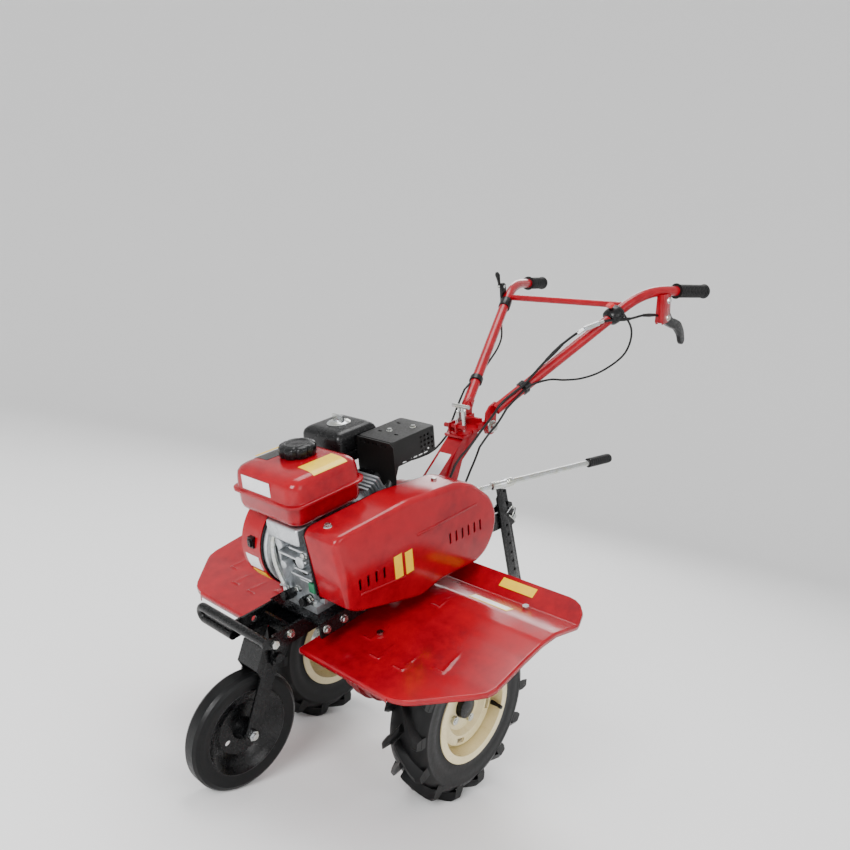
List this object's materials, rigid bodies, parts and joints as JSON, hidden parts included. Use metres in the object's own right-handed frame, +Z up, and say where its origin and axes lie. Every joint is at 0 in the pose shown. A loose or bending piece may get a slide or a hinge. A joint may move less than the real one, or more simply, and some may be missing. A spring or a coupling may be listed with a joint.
{
  "type": "mini cultivator",
  "caption": "Walking cultivator with a petrol engine, side belt drive, lugged tyres, folding front wheel, sheet fenders and a swinging handlebar.",
  "frame": {"origin": "centre of the bounding box on the ground under the three wheels", "axes": "+Z up, -Y towards the front wheel, +X towards the machine's left, where the belt cover is"},
  "size_m": [0.91, 1.2648, 1.3734],
  "materials": {
    "red_paint": "gloss",
    "black_paint": "satin",
    "cream_paint": "gloss",
    "cast_metal": "satin",
    "zinc": "satin",
    "steel": "satin",
    "iron": "matte",
    "tyre": "matte",
    "black_rubber": "matte",
    "black_plastic": "satin",
    "red_plastic": "satin"
  },
  "bodies": {
    "chassis": {"base_frame": "black_paint", "front_bumper": "black_paint", "gear_case_left": "red_paint", "gear_case_right": "red_paint", "frame_bolts": "zinc", "shaft_bearings": "steel", "drive_chain": "steel", "crankcase": "cast_metal", "crankcase_cover": "cast_metal", "cylinder_head": "cast_metal", "valve_cover": "black_paint", "blower_housing": "red_paint", "recoil_cover": "red_paint", "fuel_tank": "red_paint", "air_filter_base": "black_plastic", "air_filter_cover": "black_plastic", "carburettor": "cast_metal", "muffler": "black_paint", "muffler_guard": "black_paint", "belt_cover": "red_paint", "belt_backplate": "black_paint", "drive_belt": "black_rubber", "fender_left": "red_paint", "fender_right": "red_paint", "handlebar_column": "red_paint", "hitch_socket": "black_paint", "lower_cables": "black_rubber", "engine_switch": "black_plastic", "depth_stake": "black_paint"},
    "drive_axle": {"axle_shaft": "steel", "wheel_rims": "cream_paint", "tyre_left": "tyre", "tyre_right": "tyre", "wheel_hubs": "zinc"},
    "counter_shaft": {"counter_gear": "steel"},
    "input_shaft": {"input_shaft": "steel", "gearbox_pulley": "iron"},
    "crankshaft": {"crankshaft": "steel", "flywheel": "iron", "engine_pulley": "iron"},
    "idler": {"idler_arm": "black_paint"},
    "idler_roller": {"idler_roller": "steel"},
    "front_fork": {"front_fork": "black_paint", "front_axle": "zinc"},
    "front_wheel": {"front_rim": "black_paint", "front_tyre": "tyre"},
    "swing_head": {"column_head": "red_paint"},
    "swing_clamp": {"swing_clamp": "zinc"},
    "handlebar": {"handlebar_tubes": "red_paint", "handle_grips": "black_rubber", "upper_cables": "black_rubber", "switch_box": "black_plastic"},
    "clutch_lever": {"clutch_lever": "black_plastic"},
    "throttle_lever": {"throttle_lever": "black_plastic"},
    "stop_rocker": {"stop_rocker": "red_plastic"},
    "fuel_cap": {"fuel_cap": "black_plastic"},
    "filter_nut": {"filter_nut": "zinc"},
    "gear_lever": {"gear_lever": "zinc"},
    "stake_pin": {"stake_pin": "zinc"},
    "starter_grip": {"starter_grip": "black_plastic"}
  },
  "joints": [
    {"name": "axle_spin", "type": "hinge", "parent": "chassis", "child": "drive_axle", "pos_m": [0, -0.09581, 0.205], "axis": [1, 0, 0], "continuous": true},
    {"name": "counter_spin", "type": "hinge", "parent": "chassis", "child": "counter_shaft", "pos_m": [0, -0.13907, 0.51921], "axis": [1, 0, 0], "continuous": true},
    {"name": "input_spin", "type": "hinge", "parent": "chassis", "child": "input_shaft", "pos_m": [0, -0.14053, 0.6092], "axis": [1, 0, 0], "continuous": true},
    {"name": "crank_spin", "type": "hinge", "parent": "chassis", "child": "crankshaft", "pos_m": [0, -0.41709, 0.51414], "axis": [1, 0, 0], "continuous": true},
    {"name": "fork_fold", "type": "hinge", "parent": "chassis", "child": "front_fork", "pos_m": [0, -0.49585, 0.28543], "axis": [1, 0, 0], "range_deg": [-60, 0]},
    {"name": "front_wheel_spin", "type": "hinge", "parent": "front_fork", "child": "front_wheel", "pos_m": [0, -0.50931, 0.123], "axis": [1, 0, 0], "continuous": true},
    {"name": "clutch_squeeze", "type": "hinge", "parent": "handlebar", "child": "clutch_lever", "pos_m": [0.247, 0.47368, 1.23669], "axis": [1, 0, 0], "range_deg": [0, 25], "stiffness_Nm_per_rad": 1, "springref_deg": -11.46},
    {"name": "idler_swing", "type": "hinge", "parent": "chassis", "child": "idler", "pos_m": [0, -0.26464, 0.64465], "axis": [1, 0, 0], "range_deg": [0, 6]},
    {"name": "idler_spin", "type": "hinge", "parent": "idler", "child": "idler_roller", "pos_m": [0, -0.35478, 0.62528], "axis": [1, 0, 0], "continuous": true},
    {"name": "handlebar_swing", "type": "hinge", "parent": "chassis", "child": "swing_head", "pos_m": [0, 0.00003, 0.79917], "axis": [0, -0.4172, 0.9088], "range_deg": [-30, 30]},
    {"name": "handlebar_tilt", "type": "hinge", "parent": "swing_head", "child": "handlebar", "pos_m": [0, 0.05758, 0.8344], "axis": [1, 0, 0], "range_deg": [-8, 20]},
    {"name": "clamp_turn", "type": "hinge", "parent": "chassis", "child": "swing_clamp", "pos_m": [0, 0.00003, 0.79917], "axis": [0, -0.4172, 0.9088], "range_deg": [-45, 90]},
    {"name": "throttle_turn", "type": "hinge", "parent": "handlebar", "child": "throttle_lever", "pos_m": [-0.22, 0.31337, 1.25992], "axis": [1, 0, 0], "range_deg": [-35, 20]},
    {"name": "rocker_tilt", "type": "hinge", "parent": "handlebar", "child": "stop_rocker", "pos_m": [0.17823, 0.28193, 1.21734], "axis": [-0.9362, 0.3193, 0.1466], "range_deg": [-8, 8]},
    {"name": "fuel_cap_turn", "type": "hinge", "parent": "chassis", "child": "fuel_cap", "pos_m": [-0.03, -0.49599, 0.69799], "axis": [0, -0.4172, 0.9088], "range_deg": [0, 90]},
    {"name": "filter_nut_turn", "type": "hinge", "parent": "chassis", "child": "filter_nut", "pos_m": [-0.082, -0.35176, 0.76971], "axis": [0, -0.4172, 0.9088], "continuous": true},
    {"name": "gear_shift", "type": "slide", "parent": "chassis", "child": "gear_lever", "axis": [0.2702, 0.9066, 0.3241], "range_m": [-0.02, 0.02]},
    {"name": "stake_pin_pull", "type": "slide", "parent": "chassis", "child": "stake_pin", "axis": [1, 0, 0], "range_m": [0, 0.06]},
    {"name": "starter_pull", "type": "slide", "parent": "chassis", "child": "starter_grip", "axis": [0, 0.9088, 0.4172], "range_m": [0, 0.2], "stiffness_N_per_m": 60, "springref_m": -0.05}
  ],
  "couplings": [
    {"joint": "counter_spin", "follows": "axle_spin", "ratio": 2},
    {"joint": "input_spin", "follows": "axle_spin", "ratio": -4.6667},
    {"joint": "idler_swing", "follows": "clutch_squeeze", "ratio": 0.2}
  ]
}
